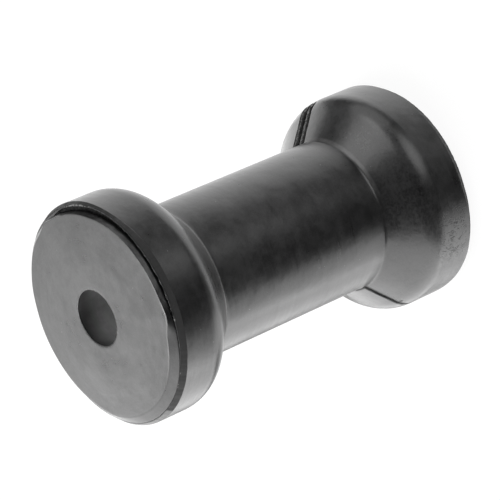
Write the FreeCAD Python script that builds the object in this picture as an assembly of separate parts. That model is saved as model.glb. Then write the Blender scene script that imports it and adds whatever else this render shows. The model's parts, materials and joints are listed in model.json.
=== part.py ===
import FreeCAD, Part
import math
import os

# Spool roller of a boat trailer or dock, moulded in black rubber as one solid piece.
# It stands on an end face: Z is the axis of the bore, and the mould parts on the plane y = 0.
# All lengths are in millimetres.

# Body
flange_diameter = 76.0
core_diameter = 52.6
bore_diameter = 19.3
rim_spacing = 128.6

# Flanges, with lengths measured along the axis
land_width = 16.8
slope_angle = 45.0
shoulder_radius = 4.0
root_radius = 4.0

# End faces, which swell out of the mould beyond the rims
face_rise = 2.8
face_fall = 1.0
face_roll = 1.2
face_roll_radius = 3.0
seat_diameter = 38.0
bore_mouth_chamfer = 0.4

# Rim, where the flash was cut off with a knife around each face
trim_depth = 1.1
trim_width = 2.0
lip_thickness = 0.5
groove_width = 0.8
groove_depth = 0.8
top_face_offset = 1.7

# Parting line, where the mould halves met a little out of step
mould_shift = 0.8
seam_depth = 0.8
tear_width = 1.9
ridge_width = 1.1
crease_width = 1.4
lower_tear_width = 1.0

flange_radius = flange_diameter / 2
core_radius = core_diameter / 2
slope_run = (flange_radius - core_radius) / math.tan(math.radians(slope_angle))
lip_radius = flange_radius - trim_depth
groove_radius = lip_radius - lip_thickness
face_radius = groove_radius - groove_width
bottom_rim = face_rise
top_rim = bottom_rim + rim_spacing
overall_length = top_rim + face_rise

axis = FreeCAD.Vector(0, 0, 1)
origin = FreeCAD.Vector(0, 0, 0)


def point(radius, height):
    """A point of a section, which is drawn in the XZ plane."""
    return FreeCAD.Vector(radius, 0, height)


def rounded_outline(corners):
    """A closed wire through corners given as (radius, height, rounding)."""
    edges = []
    ends = []
    for index, (radius, height, rounding) in enumerate(corners):
        corner = point(radius, height)
        if rounding == 0:
            ends.append((corner, corner))
            continue
        back = (point(*corners[index - 1][:2]) - corner).normalize()
        ahead = (point(*corners[(index + 1) % len(corners)][:2]) - corner).normalize()
        half_angle = back.getAngle(ahead) / 2
        reach = rounding / math.tan(half_angle)
        start = corner + back * reach
        end = corner + ahead * reach
        inward = (back + ahead).normalize()
        middle = corner + inward * (rounding / math.sin(half_angle) - rounding)
        edges.append(Part.Arc(start, middle, end).toShape())
        ends.append((start, end))
    for index, (start, end) in enumerate(ends):
        edges.append(Part.LineSegment(ends[index - 1][1], start).toShape())
    return Part.Wire(Part.__sortEdges__(edges))


def mould_half(shift):
    """The half of the body behind y = 0; its waist and slopes lie a little along the axis from true."""
    low_shoulder = bottom_rim + land_width + shift
    high_shoulder = top_rim - land_width + shift
    outline = rounded_outline([
        (0, bottom_rim + groove_depth, 0),
        (groove_radius, bottom_rim + groove_depth, 0),
        (groove_radius, bottom_rim, 0),
        (lip_radius, bottom_rim, 0),
        (flange_radius, bottom_rim + trim_width, 0),
        (flange_radius, low_shoulder, shoulder_radius),
        (core_radius, low_shoulder + slope_run, root_radius),
        (core_radius, high_shoulder - slope_run, root_radius),
        (flange_radius, high_shoulder, shoulder_radius),
        (flange_radius, top_rim - trim_width, 0),
        (lip_radius, top_rim, 0),
        (groove_radius, top_rim, 0),
        (groove_radius, top_rim - groove_depth, 0),
        (0, top_rim - groove_depth, 0),
    ])
    return Part.Face(outline).revolve(origin, axis, 180)


def end_face(rim, outward, offset):
    """The face that stands proud of a rim: flat round the bore, then falling and rolling over at its edge."""
    foot = rim - outward * trim_width
    top = rim + outward * face_rise
    roll_start = top - outward * face_fall
    outline = rounded_outline([
        (0, foot, 0),
        (0, top, 0),
        (seat_diameter / 2, top, 0),
        (face_radius - face_roll, roll_start, face_roll_radius),
        (face_radius, roll_start - outward * face_roll, 0),
        (face_radius, foot, 0),
    ])
    disc = Part.Face(outline).revolve(origin, axis, 360)
    disc.translate(FreeCAD.Vector(-offset, 0, 0))
    return disc


def seam_slot(rim, upward, side, width, start):
    """A slot down a flange slope, in front of the parting plane, where the flash tore away."""
    shoulder = rim + upward * land_width
    root = shoulder + upward * slope_run
    sink = upward * seam_depth / math.sin(math.radians(slope_angle))
    corners = [
        (flange_radius, shoulder - sink),
        (core_radius, root - sink),
        (core_radius, root + upward * root_radius),
        (flange_radius, root + upward * root_radius),
    ]
    wire = Part.makePolygon([point(side * radius, height) for radius, height in corners + corners[:1]])
    slot = Part.Face(wire).extrude(FreeCAD.Vector(0, -width, 0))
    slot.translate(FreeCAD.Vector(0, -start, 0))
    return slot


def spool_roller():
    """The whole roller: two mould halves, an end face at each rim, the seams and the bore."""
    back = mould_half(mould_shift)
    front = mould_half(0)
    front.rotate(origin, axis, 180)
    bottom_face = end_face(bottom_rim, -1, 0)
    top_face = end_face(top_rim, 1, top_face_offset)
    body = front.multiFuse([back, bottom_face, top_face]).removeSplitter()
    cuts = [Part.makeCylinder(bore_diameter / 2, overall_length, origin, axis)]
    for rim, upward in ((bottom_rim, 1), (top_rim, -1)):
        cuts.append(seam_slot(rim, upward, 1, tear_width, 0))
        cuts.append(seam_slot(rim, upward, 1, crease_width, tear_width + ridge_width))
        cuts.append(seam_slot(rim, upward, -1, lower_tear_width, 0))
    body = body.cut(cuts).Solids[0]
    mouths = [edge for edge in body.Edges
              if isinstance(edge.Curve, Part.Circle) and abs(edge.Curve.Radius - bore_diameter / 2) < 0.01
              and min(edge.BoundBox.ZMin, overall_length - edge.BoundBox.ZMax) < 0.01]
    return body.makeChamfer(bore_mouth_chamfer, mouths)


os.makedirs("parts", exist_ok=True)
roller = spool_roller()
print("valid", roller.isValid(), "solids", len(roller.Solids), "faces", len(roller.Faces))
print("volume", roller.Volume, "box", roller.BoundBox)
roller.exportStep("parts/spool_roller.step")
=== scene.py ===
import json
import math

import bmesh
import bpy
from mathutils import Matrix, Vector, noise


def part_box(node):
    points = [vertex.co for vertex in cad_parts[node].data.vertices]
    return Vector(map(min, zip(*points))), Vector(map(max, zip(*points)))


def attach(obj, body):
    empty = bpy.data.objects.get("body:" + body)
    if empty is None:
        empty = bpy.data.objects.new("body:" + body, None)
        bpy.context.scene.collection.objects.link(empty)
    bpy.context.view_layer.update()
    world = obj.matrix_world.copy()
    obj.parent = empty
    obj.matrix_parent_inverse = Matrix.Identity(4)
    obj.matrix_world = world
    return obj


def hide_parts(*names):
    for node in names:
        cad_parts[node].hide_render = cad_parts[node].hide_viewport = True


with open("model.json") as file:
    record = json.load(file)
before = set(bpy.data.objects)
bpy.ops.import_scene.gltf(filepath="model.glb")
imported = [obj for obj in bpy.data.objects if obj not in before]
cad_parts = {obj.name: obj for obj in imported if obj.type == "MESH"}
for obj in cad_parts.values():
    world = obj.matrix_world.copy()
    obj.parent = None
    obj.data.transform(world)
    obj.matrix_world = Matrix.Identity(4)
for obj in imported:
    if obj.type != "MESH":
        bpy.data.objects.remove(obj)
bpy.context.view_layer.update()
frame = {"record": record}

# Moulding. The whole roller is one piece of black rubber, pressed in a mould of two halves:
# a straight waist between two flanges, with a bore for the shaft. Half of its section is drawn
# in millimetres, turned a quarter about the bore and mirrored to the full round.
metre = 1000.0
high_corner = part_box("spool_roller")[1]
flange_radius = high_corner.x * metre
overall_length = high_corner.z * metre
bore_radius = frame["record"]["mounts"][0]["dims"]["r_mm"]
core_radius = 26.3
land_width = 16.8
slope_angle = math.radians(45)
shoulder_radius = 10.0
root_radius = 1.5
mouth_flash = 0.2
mouth_depth = 0.35
mouth_radius = 0.08
face_rise = 2.8
face_fall = 0.9
seat_radius = 19.0
dome_radius = 160.0
face_roll = 2.0
roll_fall = 1.6
face_roll_radius = 0.5
face_edge_radius = 0.3
trim_depth = 1.1
trim_width = 2.0
lip_thickness = 0.5
groove_width = 0.8
groove_depth = 0.8
quarter_steps = 90
hair = 0.01

lip_radius = flange_radius - trim_depth
groove_radius = lip_radius - lip_thickness
face_radius = groove_radius - groove_width
groove_floor = face_rise + groove_depth
shoulder_depth = face_rise + land_width
root_depth = shoulder_depth + (flange_radius - core_radius) / math.tan(slope_angle)
half_length = overall_length / 2


def section(corners):
    """Points along a section through corners given as (radius, depth, rounding, spacing)."""
    rounded = []
    for index, (radius, depth, rounding, spacing) in enumerate(corners):
        corner = Vector((radius, depth))
        if not rounding:
            rounded.append([corner])
            continue
        back = (Vector(corners[index - 1][:2]) - corner).normalized()
        ahead = (Vector(corners[index + 1][:2]) - corner).normalized()
        half_angle = back.angle(ahead) / 2
        centre = corner + (back + ahead).normalized() * rounding / math.sin(half_angle)
        start = corner + back * rounding / math.tan(half_angle) - centre
        end = corner + ahead * rounding / math.tan(half_angle) - centre
        steps = max(2, round(rounding * start.angle(end) / spacing))
        rounded.append([centre + start.slerp(end, step / steps) * rounding for step in range(steps + 1)])
    points = rounded[0]
    for arc, corner in zip(rounded[1:], corners[1:]):
        start = points[-1]
        steps = max(1, round((arc[0] - start).length / corner[3]))
        points = points + [start.lerp(arc[0], step / steps) for step in range(1, steps + 1)] + arc[1:]
    return points


half_section = section([
    (bore_radius, groove_floor, 0, 1),
    (bore_radius, 2 * mouth_depth, 0, 1),
    (bore_radius - mouth_flash, mouth_depth, 0, 0.2),
    (bore_radius - mouth_flash, 0, mouth_radius, 0.1),
    (seat_radius, 0, dome_radius, 1.2),
    (face_radius - face_roll, face_fall, face_roll_radius, 0.6),
    (face_radius, face_fall + roll_fall, face_edge_radius, 0.2),
    (face_radius, groove_floor, 0, 0.3),
    (groove_radius, groove_floor, 0, 0.3),
    (groove_radius, face_rise, 0, 0.3),
    (lip_radius, face_rise, 0, 0.25),
    (flange_radius, face_rise + trim_width, 0, 0.4),
    (flange_radius, shoulder_depth, shoulder_radius, 0.8),
    (core_radius, root_depth, root_radius, 0.45),
    (core_radius, root_depth + root_radius, 0, 1),
    (core_radius, half_length, 0, 5),
])
moulding = bmesh.new()
top = [moulding.verts.new((point.x, 0, overall_length - point.y)) for point in half_section]
bottom = [moulding.verts.new((point.x, 0, point.y)) for point in reversed(half_section[:-1])]
outline = top + bottom
outline_edges = [moulding.edges.new((outline[index - 1], outline[index])) for index in range(len(outline))]
bmesh.ops.spin(moulding, geom=outline + outline_edges, cent=(0, 0, 0), axis=(0, 0, 1), dvec=(0, 0, 0),
               angle=math.pi / 2, steps=quarter_steps, use_merge=False, use_duplicate=False)
for mirror_axis in ("X", "Y"):
    everything = moulding.verts[:] + moulding.edges[:] + moulding.faces[:]
    bmesh.ops.mirror(moulding, geom=everything, axis=mirror_axis, merge_dist=hair)
bmesh.ops.recalc_face_normals(moulding, faces=moulding.faces)

# End faces. The rubber swells out past each rim in a low disc. The flash round it was cut off
# with a knife, which left a sloping band, a torn lip and a groove behind it; on one side the gap
# is closed and the disc bends down to the lip. Rows of stops follow the rim, in degrees about the bore.
upper_face_edge = ((-180, 36.6), (-150, 36.75), (-118, 36.5), (-106, 35.9), (-95, 35.3), (-60, 35.4),
                   (-30, 35.0), (-12, 35.1), (0, 35.6), (10, 36.2), (30, 36.7), (50, 36.3), (70, 35.8),
                   (105, 35.6), (130, 35.7), (150, 36.3), (180, 36.6))
lower_face_edge = ((-180, 35.6), (-130, 35.7), (-105, 35.3), (-60, 35.3), (0, 35.6), (180, 35.6))
upper_roll = ((-180, 3.0), (-120, 3.0), (-107, 0.5), (5, 0.5), (20, 1.8), (150, 2.0), (180, 3.0))
upper_opening = ((-180, 0), (-117, 0), (-107, 1), (-8, 1), (4, 0.12), (14, 0), (180, 0))
lower_opening = ((-180, 0.4), (-145, 0.3), (-120, 0.4), (-100, 1), (100, 1), (180, 0.4))
upper_lip_drop = ((-180, 0.4), (-167, 0), (20, 0), (45, 0.6), (150, 0.6), (180, 0.4))
lower_lip_drop = ((-180, 0.3), (-150, 0), (-20, 0), (30, 0.3), (180, 0.3))
upper_cut_foot = ((-180, 1.8), (-150, 2.0), (-75, 2.0), (-41, 0.9), (-5, 1.7), (90, 2.0), (180, 1.8))
lower_cut_foot = ((-180, 1.5), (-160, 0.3), (-145, 0.1), (-134, 0.6), (-119, 1.2), (-105, 1.9),
                  (-40, 1.8), (30, 1.4), (100, 2.0), (180, 1.5))
upper_glints = ((-180, 0), (-167, 0.5), (-140, 0.5), (-134, 0), (-113.5, 0.1), (-112, 0.9), (-110, 0.9),
                (-108, 0.1), (-34, 0.1), (-31, 0.9), (-12, 0.9), (-8, 0.2), (8, 0.3), (20, 0), (180, 0))
upper_mouth = ((-180, -0.1), (-64, -0.05), (-40, 0.15), (70, 0.3), (96, -0.15), (150, -0.3), (180, -0.1))
closed_gap = 0.04
mouth_waver = 0.1
edge_waver = 0.05
foot_waver = 0.06
lip_burr = 0.25
lip_waver = 0.1
edge_shade_reach = 1.0
fold_reach = 0.8
fold_shade = 0.33
nick_angle = -136.0
nick_reach = 4.0
cut_layer = moulding.verts.layers.float.new("cut")
torn_layer = moulding.verts.layers.float.new("torn")
shade_layer = moulding.verts.layers.float.new("shade")
pale_and_glint_layer = moulding.verts.layers.float.new("pale_and_glint")


def between(value, places, targets):
    """Carries a value from one row of places to the matching row of targets, in straight runs."""
    for index in range(len(places) - 1):
        if value < places[index + 1]:
            break
    share = (value - places[index]) / (places[index + 1] - places[index])
    return targets[index] + share * (targets[index + 1] - targets[index])


def smooth(value, low, high):
    """A soft step from 0 to 1."""
    share = min(1, max(0, (value - low) / (high - low)))
    return share * share * (3 - 2 * share)


def level(value, stops):
    """The level at a value, with soft runs through stops given as (value, level)."""
    for (start, low), (end, high) in zip(stops, stops[1:]):
        if value <= end:
            break
    return low + (high - low) * smooth(value, start, end)


def ripple(vector, scale, seed):
    """Soft noise from -1 to 1 at a place in millimetres, finer for a larger scale."""
    return noise.noise(vector * scale + Vector((0, 0, seed)))


for vert in moulding.verts:
    upper = vert.co.z > half_length
    depth = overall_length - vert.co.z if upper else vert.co.z
    radius = math.hypot(vert.co.x, vert.co.y)
    if depth > face_rise + trim_width + hair:
        vert[cut_layer] = face_rise + trim_width - depth
        continue
    angle = math.atan2(vert.co.y, vert.co.x)
    degrees = math.degrees(angle)
    rim_place = Vector((vert.co.x, vert.co.y, 0))
    if radius < bore_radius + hair:
        flash = 1 - smooth(depth, mouth_depth, 2 * mouth_depth)
        nick = 1 - smooth(abs(degrees - nick_angle), 0.5 * nick_reach, nick_reach) if upper else 0
        radius += flash * (mouth_waver * ripple(rim_place, 0.4, 21) + mouth_flash * nick)
        radius += flash * (level(degrees, upper_mouth) if upper else 0)
        vert[torn_layer] = flash * 0.6
        vert[pale_and_glint_layer] = flash * nick
        vert.co.x = radius * math.cos(angle)
        vert.co.y = radius * math.sin(angle)
        continue
    opening = level(degrees, upper_opening if upper else lower_opening)
    face_edge = level(degrees, upper_face_edge if upper else lower_face_edge)
    face_edge += edge_waver * opening * (ripple(rim_place, 0.25, 3) + ripple(rim_place, 0.9, 5))
    cut_foot = level(degrees, upper_cut_foot if upper else lower_cut_foot)
    cut_foot *= 1 + foot_waver * ripple(rim_place, 0.12, 7)
    lip_edge = flange_radius - trim_depth * cut_foot / trim_width
    wall = face_edge + closed_gap + opening * (lip_edge - lip_thickness - face_edge)
    lip_edge = max(lip_edge, wall + closed_gap)
    lip_drop = level(degrees, upper_lip_drop if upper else lower_lip_drop)
    roll = level(degrees, upper_roll) if upper else face_roll
    places = (bore_radius, face_radius - face_roll, face_radius, groove_radius, lip_radius, flange_radius)
    targets = (bore_radius, face_edge - roll, face_edge, wall, lip_edge, flange_radius)
    moved = between(radius, places, targets)
    below_rim = depth - face_rise
    if below_rim < -hair:
        # Painted shade: the face darkens toward the open groove, and along the fold where the gap is
        # closed, which damps the fold's highlight.
        edge_shade = smooth(moved, face_edge - roll - edge_shade_reach, face_edge)
        edge_shade *= 0.7 + 0.9 * ripple(rim_place, 0.5, 23)
        fold = 1 - smooth(abs(moved - face_edge + roll), fold_reach / 3, fold_reach)
        vert[cut_layer] = -1
        vert[shade_layer] = 0.5 * opening * edge_shade + fold_shade * (1 - opening) * fold
    elif radius < groove_radius + hair and below_rim > hair:
        sunk = opening * below_rim * (1.3 + 0.4 * ripple(rim_place, 0.4, 9))
        depth = face_rise + max(lip_drop, sunk)
        vert[cut_layer] = -1
        vert[torn_layer] = 1
        # Painted shade in the groove where the gap is open, on top of the torn rubber.
        vert[shade_layer] = smooth(opening, 0, 0.3)
    elif radius < lip_radius + hair:
        ragged = opening if upper else 0.5 * opening
        depth += lip_drop
        depth -= ragged * lip_burr * (0.3 + ripple(rim_place, 0.9, 11) + 0.7 * ripple(rim_place, 2.1, 12))
        moved += ragged * lip_waver * ripple(rim_place, 0.8, 13)
        flecks = level(degrees, upper_glints) if upper else 0
        vert[cut_layer] = cut_foot if moved > lip_edge - lip_waver else 0
        vert[torn_layer] = 0.45 + 0.55 * opening
        # Pale torn flash, partly painted glints where torn bits catch the light.
        vert[pale_and_glint_layer] = smooth(ripple(rim_place, 1.3, 14) + flecks, 0.75, 1.1)
        # Painted shade on the lip beside the open groove.
        vert[shade_layer] = 0.6 * opening
    else:
        share = below_rim / trim_width
        depth = face_rise + cut_foot * share + lip_drop * (1 - share)
        vert[cut_layer] = cut_foot * (1 - share)
    vert.co.x = moved * math.cos(angle)
    vert.co.y = moved * math.sin(angle)
    vert.co.z = overall_length - depth if upper else depth
bmesh.ops.dissolve_degenerate(moulding, dist=hair / 10, edges=moulding.edges[:])

# Parting line. The mould halves met a little out of step, so the half behind stands off along
# the axis. Flash stood on each flange slope. On one side it tore out in a strip with a ridge
# and a crease beside it, and on the other side it left a single narrow slot.
mould_shift = 0.8
step_width = 0.1
step_margin = 0.02
seam_slope_end = 4.0
wide_seam = ((-2.2, 0), (-1.9, -0.12), (-1.75, -0.12), (-1.5, 0.2), (-0.5, 0.25), (-0.3, 0.8), (0.5, 0.8),
             (0.9, 0.2), (1.9, 0.25), (2.3, 0.7), (3.1, 0.7), (4.3, 0))
wide_seam_shade = ((-1.8, 0), (-1.5, 0.1), (-0.6, 0.2), (-0.3, 1), (0.5, 1), (0.8, 0), (1.9, 0.1),
                   (2.2, 0.9), (3.2, 0.9), (4.1, 0))
wide_seam_tear = ((-1.75, 0), (-1.6, 1), (2.0, 1), (2.3, 0.5), (3.4, 0))
# The pale rows are pale torn flash and painted highlights on the step's edge and on the ridge.
wide_seam_pale_and_glint = ((-2.2, 0), (-1.95, 0.35), (-1.7, 0.35), (-1.5, 0.42), (-0.6, 0.42), (-0.4, 0), (0.7, 0),
                  (1.0, 0.5), (1.8, 0.5), (2.1, 0))
slot_place = 0.9
slot_seam = ((-0.5, 0), (-0.25, -0.06), (-0.05, 0.35), (0.15, 0.35), (0.4, 0))
slot_seam_shade = ((-0.1, 0), (0, 0.7), (0.15, 0.7), (0.35, 0))
crevice_length = 6.5
crevice_lift = 0.3
crevice_reach = 0.6
nick_place = Vector((-36.0, -0.8, 21.4))
nick_radius = 0.8
seam_margin = 0.5
seam_fade = 1.0
seam_spacing = 0.2
seam_waver = 0.15
zone_width = 7.0
zone_margin = 2.0
seam_start = shoulder_depth - seam_slope_end * math.tan(slope_angle / 2)
arc_start = shoulder_depth - shoulder_radius * math.tan(slope_angle / 2)
root_end = root_depth + root_radius * math.tan(slope_angle / 2)


def end_depth(vert):
    """Depth of a vertex below the nearer end."""
    return min(vert.co.z, overall_length - vert.co.z)


def in_zone(place, depth):
    """Whether a place at a depth lies near a seam."""
    beside = abs(place.y) < zone_width and abs(place.x) > core_radius - zone_margin
    return beside and arc_start - seam_margin < depth < root_end + zone_margin


for side, step_place, seam in ((1, step_width, wide_seam), (-1, slot_place, slot_seam)):
    seam_place = 0 if side > 0 else slot_place
    reach = seam[-1][0] - seam[0][0] + 2 * seam_margin
    first = seam_place - seam[0][0] + seam_margin - seam_spacing / 2
    rows = round(reach / seam_spacing)
    planes = [step_place - step_margin] + [first - seam_spacing * row for row in range(rows)]
    for plane_y in planes:
        faces = [face for face in moulding.faces if side * face.calc_center_median().x > 0
                 and in_zone(face.calc_center_median(), end_depth(face.verts[0]))]
        edges = {edge for face in faces for edge in face.edges}
        corners = {vert for face in faces for vert in face.verts}
        bmesh.ops.bisect_plane(moulding, geom=faces + list(edges) + list(corners), dist=hair,
                               plane_co=(0, plane_y, 0), plane_no=(0, 1, 0))

moulding.normal_update()
seam_moves = []
for vert in moulding.verts:
    depth = end_depth(vert)
    if not in_zone(vert.co, depth):
        continue
    along = smooth(depth, seam_start - seam_fade, seam_start + seam_fade)
    along *= 1 - smooth(depth, root_end - seam_fade, root_end)
    grit = ripple(vert.co, 0.9, 17)
    crumbs = ripple(vert.co, 2.1, 19)
    if vert.co.x > 0:
        across = -vert.co.y + seam_waver * ripple(vert.co, 0.35, 29)
        tear = along * level(across, wide_seam_tear)
        sunk = level(across, wide_seam) + tear * (0.15 * grit + 0.2 * crumbs)
        vert[torn_layer] = tear
        vert[shade_layer] = along * level(across, wide_seam_shade) * (1 + 0.5 * crumbs)
        vert[pale_and_glint_layer] = along * level(across, wide_seam_pale_and_glint) * (1 + 1.4 * crumbs)
    else:
        across = slot_place - vert.co.y
        along = along * smooth(depth, seam_start, seam_start + 2 * seam_fade)
        sunk = level(across, slot_seam) * (1 + 0.3 * grit)
        # Painted shade: a dark nick near the shoulder, which is also marked torn but not cut into the
        # mesh, and a crevice along the root beside the slot.
        nick_distance = (Vector((vert.co.x, vert.co.y, depth)) - nick_place).length
        nick = 1 - smooth(nick_distance, nick_radius / 2, nick_radius)
        crevice_shade = smooth(-across, 0, 0.3) * (1 - smooth(-across, crevice_length - 2, crevice_length))
        crevice_shade *= 1 - smooth(abs(depth - root_depth + crevice_lift), crevice_reach / 3, crevice_reach)
        slot = max(along * level(across, slot_seam_shade), nick)
        vert[torn_layer] = slot
        vert[shade_layer] = max(slot, crevice_shade)
    seam_moves.append((vert, vert.normal * sunk * along))
for vert, move in seam_moves:
    vert.co -= move
for vert in moulding.verts:
    step_place = step_width if vert.co.x > 0 else slot_place
    if vert.co.y > step_place - step_margin - hair:
        vert.co.z += mould_shift * smooth(end_depth(vert), face_rise + trim_width, arc_start)

sharp_angle = math.radians(24)
for face in moulding.faces:
    face.smooth = True
for edge in moulding.edges:
    edge.smooth = edge.calc_face_angle(0) < sharp_angle
bmesh.ops.scale(moulding, vec=(1 / metre,) * 3, verts=moulding.verts)
roller_mesh = bpy.data.meshes.new("roller_moulding")
moulding.to_mesh(roller_mesh)
moulding.free()
roller = bpy.data.objects.new("roller_moulding", roller_mesh)
bpy.context.scene.collection.objects.link(roller)


# Rubber. It is black and filled with carbon, with the dull sheen of a steel mould, fine turning
# marks round it, and a cloudy bloom. The knife cuts are smooth and darker, and what tore is rough.
# Part of its colour is painted light: shade in the gaps, seams and creases, glints on torn flash, a
# highlight at the flange roots on one side, and light deep in the bore.
class Socket:
    """A socket in a material's nodes. Arithmetic on it adds the Math nodes that work it out."""

    def __init__(self, tree, socket=None):
        self.tree = tree
        self.socket = socket

    def node(self, kind, settings, inputs, output=0):
        """Adds a node with its settings and the values or links of its sockets."""
        node = self.tree.nodes.new("ShaderNode" + kind)
        for name, value in settings.items():
            setattr(node, name, value)
        for name, value in inputs.items():
            if isinstance(value, Socket):
                self.tree.links.new(value.socket, node.inputs[name])
            else:
                node.inputs[name].default_value = value
        return Socket(self.tree, node.outputs[output])

    def math(self, operation, *values):
        return self.node("Math", {"operation": operation}, dict(enumerate(values)))

    def __add__(self, other):
        return self.math("ADD", self, other)

    def __radd__(self, other):
        return self.math("ADD", other, self)

    def __sub__(self, other):
        return self.math("SUBTRACT", self, other)

    def __rsub__(self, other):
        return self.math("SUBTRACT", other, self)

    def __mul__(self, other):
        return self.math("MULTIPLY", self, other)

    def __rmul__(self, other):
        return self.math("MULTIPLY", other, self)

    def __or__(self, other):
        """The larger of two masks."""
        return self.math("MAXIMUM", self, other)

    def __ror__(self, other):
        return self.math("MAXIMUM", other, self)

    def vector(self, operation, *values, output=0):
        return self.node("VectorMath", {"operation": operation}, dict(enumerate((self, *values))), output)

    def axis(self, name):
        return self.node("SeparateXYZ", {}, {0: self}, name)

    def step(self, low, high):
        """A soft step from 0 at low to 1 at high."""
        return self.node("MapRange", {"interpolation_type": "SMOOTHSTEP"},
                         {"Value": self, "From Min": low, "From Max": high})

    def inside(self, low, high, edge):
        """1 between low and high, with soft edges."""
        return self.step(low - edge, low + edge) * (1 - self.step(high - edge, high + edge))

    def noise(self, size, detail=2):
        """Noise about 0, with features of a size in the units of this vector."""
        return self.node("TexNoise", {}, {"Vector": self, "Scale": 1 / size, "Detail": detail}) - 0.5

    def cells(self, size, output):
        """A cell pattern: the distance from the middle of each cell, or a colour of its own."""
        return self.node("TexVoronoi", {}, {"Vector": self, "Scale": 1 / size}, output)

    def blend(self, first, second):
        """A colour that goes from first to second as this mask goes from 0 to 1."""
        return self.node("Mix", {"data_type": "RGBA"}, {0: self, 6: first, 7: second}, 2)

    def attribute(self, name):
        return self.node("Attribute", {"attribute_name": name}, {}, "Fac")

    def cover(self, mesh, material):
        """Makes this shader the surface of a material, and gives the material to a mesh."""
        output = self.tree.nodes.new("ShaderNodeOutputMaterial")
        self.tree.links.new(self.socket, output.inputs["Surface"])
        mesh.materials.append(material)


black = (0.011, 0.011, 0.0113, 1)
bloomed = (0.036, 0.036, 0.0365, 1)
root_highlight_grey = (0.10, 0.10, 0.10, 1)
bore_painted_light = (0.40, 0.40, 0.40, 1)
dust_grey = (0.22, 0.22, 0.22, 1)
cut_grey = (0.034, 0.034, 0.034, 1)
torn_black = (0.005, 0.005, 0.005, 1)
torn_grey = (0.06, 0.06, 0.06, 1)
flash_and_glint_grey = (0.16, 0.16, 0.158, 1)
sheen_index = 1.7
mould_roughness = 0.31
raw_roughness = 0.8
raw_sheen = 0.18
cloud_size = 16.0
mottle_size = 3.2
grain_size = 0.5
crumb_size = 0.9
fleck_size = 0.38
speck_size = 1.3
dust_size = 2.6
cut_start = math.radians(-167)
cut_end = math.radians(10)
stroke_count = 26
scuff_start = math.radians(-143)
scuff_end = math.radians(-117)
scuff_low = 5.0
scuff_high = 17.5
highlight_start = math.radians(-88)
highlight_end = math.radians(-22)
speck_place = (-10.1, 21.7, 0)
speck_reach = 3.0
bore_light_depth = 13.0
worn_from = 14.0
worn_to = 34.0

rubber = bpy.data.materials.new("moulded_rubber")
rubber.use_nodes = True
rubber.node_tree.nodes.clear()
nodes = Socket(rubber.node_tree)
place = nodes.node("TexCoord", {}, {}, "Object").vector("MULTIPLY", (metre, metre, metre))
side_x, side_y, height = place.axis("X"), place.axis("Y"), place.axis("Z")
flat = place.vector("MULTIPLY", (1, 1, 0))
radius = flat.vector("LENGTH", output="Value")
bearing = flat.vector("NORMALIZE")
angle = nodes.math("ARCTAN2", side_y, side_x)
depth = nodes.math("MINIMUM", height, overall_length - height)
cut = nodes.attribute("cut")
torn = nodes.attribute("torn")
shade = nodes.attribute("shade")
pale_and_glint = nodes.attribute("pale_and_glint")

clouds = place.noise(cloud_size, 3)
mottle = place.vector("ADD", (40, 0, 0)).noise(mottle_size, 4)
grain = place.noise(grain_size)
crumbs = place.vector("ADD", (0, 30, 0)).noise(crumb_size, 3)
turned = nodes.node("CombineXYZ", {}, {0: side_x * 0.05, 1: side_y * 0.05, 2: height + radius})
turning = turned.noise(0.8, 1)
swirled = nodes.node("CombineXYZ", {}, {0: bearing.axis("X") * 3, 1: bearing.axis("Y") * 3,
                                        2: radius * 0.45})
swirl = swirled.noise(1, 4)
on_face = 1 - depth.step(face_rise - 0.2, face_rise)
on_slope = depth.step(shoulder_depth - 2, shoulder_depth) * radius.step(core_radius, core_radius + 2)
in_bore = 1 - radius.step(bore_radius + 0.02, bore_radius + 0.12)
# The mouth ring is rough torn flash, and its darkness is partly painted shade under the flash's edge.
mouth = (1 - radius.step(bore_radius, bore_radius + 0.25)) * (1 - depth.step(mouth_depth - 0.05, 0.8))
near_end = height.step(half_length, half_length + 1)

band = (cut + mottle * 0.3).step(0.02, 0.14) * (1 - in_bore)
trimmed = 1 - near_end * (1 - angle.inside(cut_start, cut_end, 0.01))
strokes = bearing.vector("MULTIPLY", (stroke_count, stroke_count, 0)).noise(1, 3)
fleck_streaks = place.vector("MULTIPLY", (1, 1, 0.3)).noise(fleck_size)
scuffed = angle.inside(scuff_start, scuff_end, 0.12) * height.inside(scuff_low, scuff_high, 2.5)
scuff = scuffed * (fleck_streaks + mottle * 0.6).step(0.05, 0.12)
parting = (1 - nodes.math("ABSOLUTE", side_y).step(0.08, 0.3)) * (1 - on_face) * (1 - in_bore)
speck_distance = flat.vector("ADD", speck_place).vector("LENGTH", output="Value")
specks = 1 - place.cells(speck_size, "Distance").step(0.08, 0.16)
specks = specks * (1 - speck_distance.step(0, speck_reach)) * near_end
dusty_cells = place.cells(dust_size, "Color").axis("X").step(0.86, 0.9)
dust = (1 - place.cells(dust_size, "Distance").step(0.03, 0.08)) * dusty_cells | specks
# Painted highlight: a lighter line on the flange slope at its root, over one side only.
root = depth.inside(root_depth - 1.1, root_depth - 0.2, 0.25)
root = root * (1 - radius.step(core_radius + 1.4, core_radius + 2))
root = root * angle.inside(highlight_start, highlight_end, 0.25)

dull = band * (0.3 + 0.62 * trimmed + strokes * 0.6) | shade * (0.95 + crumbs * 0.5)
dull = dull | torn * (0.75 + crumbs) | scuff * 0.5 | mouth * 0.8
worn = on_face * radius.step(worn_from, worn_to)
dull = dull | 0.05 + turning * 0.22 + grain * 0.1 + crumbs * on_slope * 0.2 + worn * 0.13
bloom = 0.5 + clouds * 1.3 + mottle * 0.8 + grain * 0.9 + swirl * on_face * 0.6 + turning * 0.5
bloom = (bloom + crumbs * on_slope * 1.2).step(0.1, 0.9)
colour = bloom.blend(black, bloomed)
colour = (root * (0.8 + mottle * 1.5)).blend(colour, root_highlight_grey)
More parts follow.
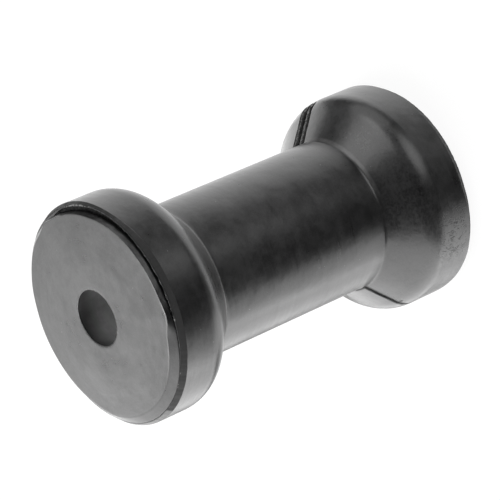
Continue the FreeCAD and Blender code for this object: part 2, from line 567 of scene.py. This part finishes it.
# Painted light: the bore grows lighter from the mouth inward, standing in for light that reaches it from
# the far end.
colour = (in_bore * depth.step(0, bore_light_depth) * (0.85 + mottle * 0.7)).blend(colour, bore_painted_light)
colour = (dust * 0.8).blend(colour, dust_grey)
roughness = mould_roughness + clouds * 0.15 + mottle * 0.08 + turning * 0.05 + swirl * on_face * 0.07
roughness = roughness + in_bore * 0.2 + crumbs * on_slope * 0.12
relief = clouds * 0.30 + mottle * 0.026 + grain * 0.009 + crumbs * on_slope * 0.022
relief = relief + turning * 0.010 * (1 - torn) * (1 - on_face) + swirl * on_face * 0.028
relief = relief + parting * 0.05 + crumbs * torn * 0.25 - scuff * 0.04
bumps = nodes.node("Bump", {}, {"Strength": 1.0, "Distance": 1 / metre, "Height": relief}, "Normal")
moulded = nodes.node("BsdfPrincipled", {}, {"Base Color": colour, "Roughness": roughness,
                                            "IOR": sheen_index, "Normal": bumps})
torn_colour = (crumbs + 0.5 - shade * 0.45).step(0.3, 0.9).blend(torn_black, torn_grey)
# Pale torn flash, partly painted glints and highlights on torn edges.
raw_colour = pale_and_glint.step(0.2, 0.7).blend((band * (1 - shade)).blend(torn_colour, cut_grey), flash_and_glint_grey)
raw = nodes.node("BsdfPrincipled", {}, {"Base Color": raw_colour, "Roughness": raw_roughness,
                                        "Specular IOR Level": raw_sheen, "Normal": bumps})
nodes.node("MixShader", {}, {0: dull, 1: moulded, 2: raw}).cover(roller_mesh, rubber)

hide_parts("spool_roller")
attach(roller, "root")

# Sheet. The floor is a plain white sheet under the roller, which shows the roller's soft shadow.
# Only the camera sees it, so that it throws no light on the rubber.
sheet_size = 6.0
sheet_glow = 0.88
glow_strength = 1.06
paper_white = (0.9, 0.9, 0.9, 1)
sheet_shape = bmesh.new()
bmesh.ops.create_grid(sheet_shape, x_segments=1, y_segments=1, size=sheet_size / 2)
sheet_mesh = bpy.data.meshes.new("white_sheet")
sheet_shape.to_mesh(sheet_mesh)
sheet_shape.free()
sheet = bpy.data.objects.new("white_sheet", sheet_mesh)
bpy.context.scene.collection.objects.link(sheet)
white = bpy.data.materials.new("white_paper")
white.use_nodes = True
white.node_tree.nodes.clear()
paper = Socket(white.node_tree)
matt = paper.node("BsdfDiffuse", {}, {"Color": paper_white})
glow = paper.node("Emission", {}, {"Strength": glow_strength})
paper.node("MixShader", {}, {0: sheet_glow, 1: matt, 2: glow}).cover(sheet_mesh, white)
sheet.visible_glossy = False
sheet.visible_diffuse = False
sheet.visible_shadow = False

# Lamps. Soft round panels stand all round the roller, as in a light tent: a large one behind it,
# and smaller ones in front, above and below, with a weak light from all round. One small lamp
# close over the near end lights the bore.
tent_radius = 1.5
room_light = 0.02
roller_middle = Vector((0, 0, overall_length / 2 / metre))


def panel(name, azimuth, elevation, half_angle, brightness, distance=tent_radius):
    """A round panel that fills a cone of half_angle, seen from the roller."""
    lamp = bpy.data.lights.new(name, "AREA")
    lamp.shape = "DISK"
    lamp.size = 2 * distance * math.tan(math.radians(half_angle))
    lamp.energy = brightness * math.pi * math.pi * lamp.size ** 2 / 4
    stand = bpy.data.objects.new(name, lamp)
    bpy.context.scene.collection.objects.link(stand)
    raised = Matrix.Rotation(math.radians(-elevation), 3, "Y") @ Vector((1, 0, 0))
    away = Matrix.Rotation(math.radians(azimuth), 3, "Z") @ raised
    facing = away.to_track_quat("Z", "Y")
    stand.matrix_world = Matrix.LocRotScale(roller_middle + away * distance, facing, None)
    stand.visible_camera = False


panel("back_panel", 146.7, 10.6, 54.1, 2.64)
panel("front_panel", -24.3, 35.6, 21.0, 2.27)
panel("top_panel", 95.4, 61.3, 11.2, 11.3)
panel("low_panel", 41.6, -68.3, 45.4, 1.52)
panel("side_panel", -171.6, -45.7, 19.7, 2.2)
panel("fill_panel", 68.9, 6.8, 37.1, 1.85)
panel("left_panel", -18.2, 0.4, 23.6, 1.14)
panel("camera_panel", -72.4, -9.8, 21.3, 1.75)
panel("bore_panel", -90.0, 76.5, 4.0, 36.0, distance=0.17)
world = bpy.data.worlds.new("studio")
world.use_nodes = True
world.node_tree.nodes["Background"].inputs["Color"].default_value = (1, 1, 1, 1)
world.node_tree.nodes["Background"].inputs["Strength"].default_value = room_light
bpy.context.scene.world = world

# Camera. The photograph was taken from a distance, looking down on the near end of the roller.
camera_aim = Vector((0.00056, 0.00054, 0.06789))
camera_distance = 0.98974
camera_azimuth = math.radians(-4.25)
camera_elevation = math.radians(36.24)
camera_roll = math.radians(113.66)
camera_data = bpy.data.cameras.new("camera")
camera_data.sensor_width = 36
camera_data.lens = 215.27
camera = bpy.data.objects.new("camera", camera_data)
bpy.context.scene.collection.objects.link(camera)
backward = Vector((math.sin(camera_azimuth) * math.cos(camera_elevation),
                   -math.cos(camera_azimuth) * math.cos(camera_elevation),
                   math.sin(camera_elevation)))
turn = backward.to_track_quat("Z", "Y").to_matrix() @ Matrix.Rotation(-camera_roll, 3, "Z")
camera.matrix_world = Matrix.LocRotScale(camera_aim + backward * camera_distance, turn, None)
bpy.context.scene.camera = camera
bpy.context.scene.view_settings.view_transform = "Standard"
